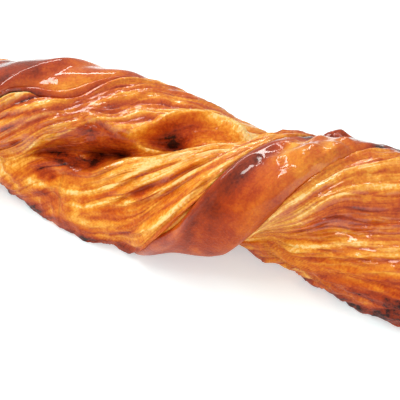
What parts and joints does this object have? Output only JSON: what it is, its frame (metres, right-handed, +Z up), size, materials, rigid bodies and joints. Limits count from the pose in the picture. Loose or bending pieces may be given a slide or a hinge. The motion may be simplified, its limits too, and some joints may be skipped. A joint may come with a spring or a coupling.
{
  "type": "danish twist",
  "caption": "Long twisted pastry of laminated dough with flaky ridges, a smooth wound strand and a flat underside.",
  "frame": {"origin": "under the middle of the twist, on the surface that it rests on", "axes": "+X along the twist, +Z up from the surface that it rests on"},
  "size_m": [0.214, 0.0536, 0.0486],
  "materials": {
    "glazed_pastry": null
  },
  "bodies": {
    "root": {"danish_twist": "glazed_pastry"}
  },
  "joints": []
}
